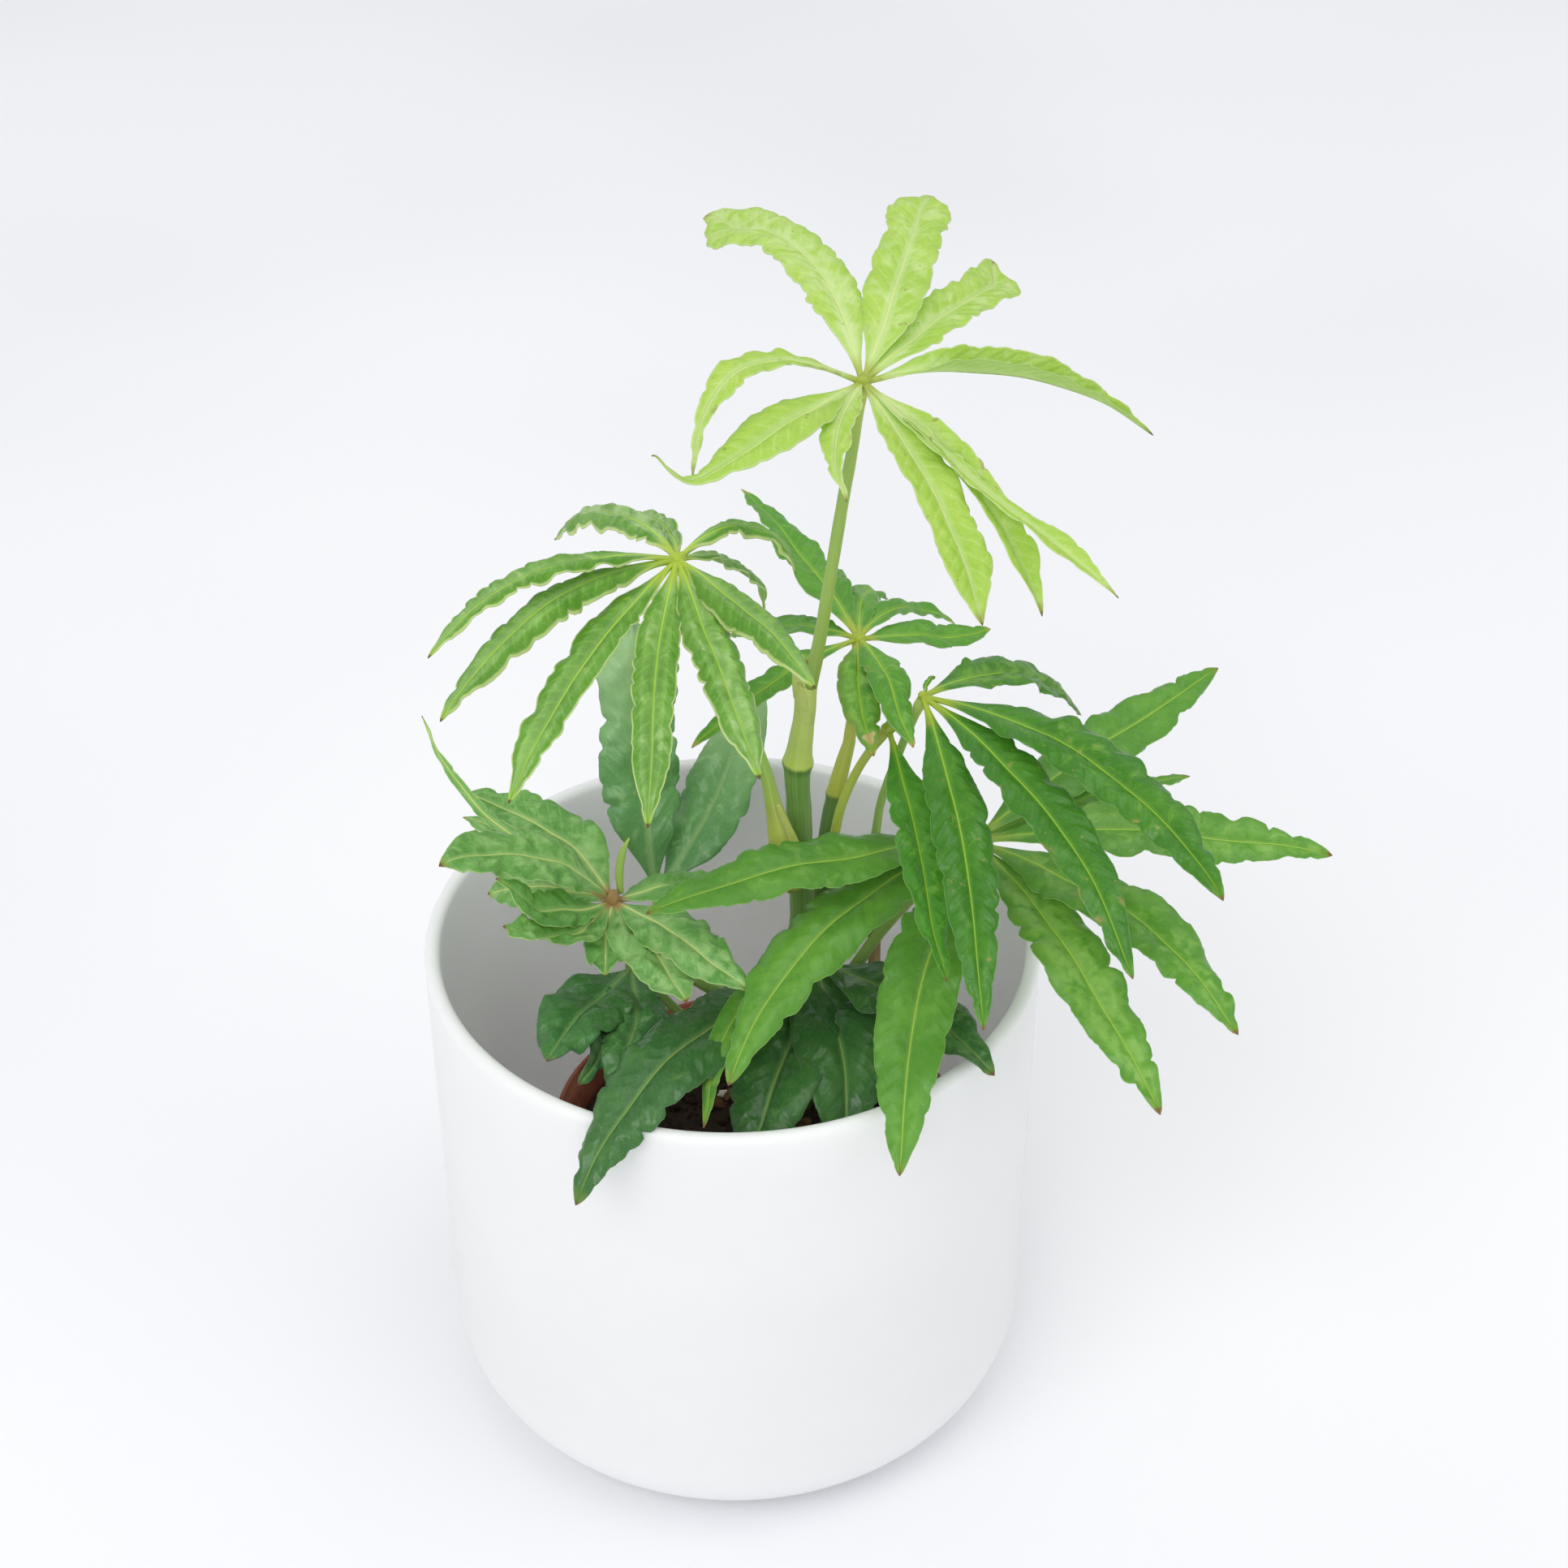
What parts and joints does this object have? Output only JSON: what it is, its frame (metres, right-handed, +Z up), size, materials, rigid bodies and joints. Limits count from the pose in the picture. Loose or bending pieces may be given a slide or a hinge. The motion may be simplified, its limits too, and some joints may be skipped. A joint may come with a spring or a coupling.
{
  "type": "potted anthurium",
  "caption": "Potted anthurium with palmate fans of narrow wavy leaflets on long stalks, growing in a small nursery pot inside a plain white round planter.",
  "frame": {"origin": "centre of the outer pot's base, on the surface it stands on", "axes": "+Z up along the outer pot's axis, -Y towards the side the plant is seen from, +X to that viewer's right"},
  "size_m": [0.2652, 0.2151, 0.3645],
  "materials": {
    "pot_white": "matte",
    "nursery_plastic": "satin",
    "soil": "matte",
    "stem": "satin",
    "leaf_stalk": "satin",
    "dried_stalk": "matte",
    "leaf_young": "satin",
    "leaf_bright": "satin",
    "leaf_mid": "satin",
    "leaf_deep": "satin",
    "leaf_pale": "satin",
    "leaf_blue_green": "satin"
  },
  "bodies": {
    "root": {"outer_pot": "pot_white", "nursery_pot": "nursery_plastic", "potting_soil": "soil", "main_stem": "stem", "second_stem": "stem", "stem_tip_bud": "leaf_stalk", "young_shoot": "leaf_stalk", "dried_stalk_stub": "dried_stalk", "top_leaf_stalk": "leaf_stalk", "left_leaf_stalk": "leaf_stalk", "middle_leaf_stalk": "leaf_stalk", "right_leaf_stalk": "leaf_stalk", "narrow_leaf_stalk": "leaf_stalk", "wide_leaf_stalk": "leaf_stalk", "low_left_leaf_stalk": "leaf_stalk", "back_leaf_stalk": "leaf_stalk", "rim_leaf_stalk": "leaf_stalk", "dark_leaf_stalk": "leaf_stalk", "top_leaf_blade": "leaf_young", "left_leaf_blade": "leaf_bright", "middle_leaf_blade": "leaf_deep", "right_leaf_blade": "leaf_deep", "narrow_leaf_blade": "leaf_deep", "wide_leaf_blade": "leaf_mid", "low_left_leaf_blade": "leaf_pale", "back_leaf_blade": "leaf_blue_green", "rim_leaf_blade": "leaf_blue_green", "dark_leaf_blade": "leaf_blue_green"}
  },
  "joints": []
}
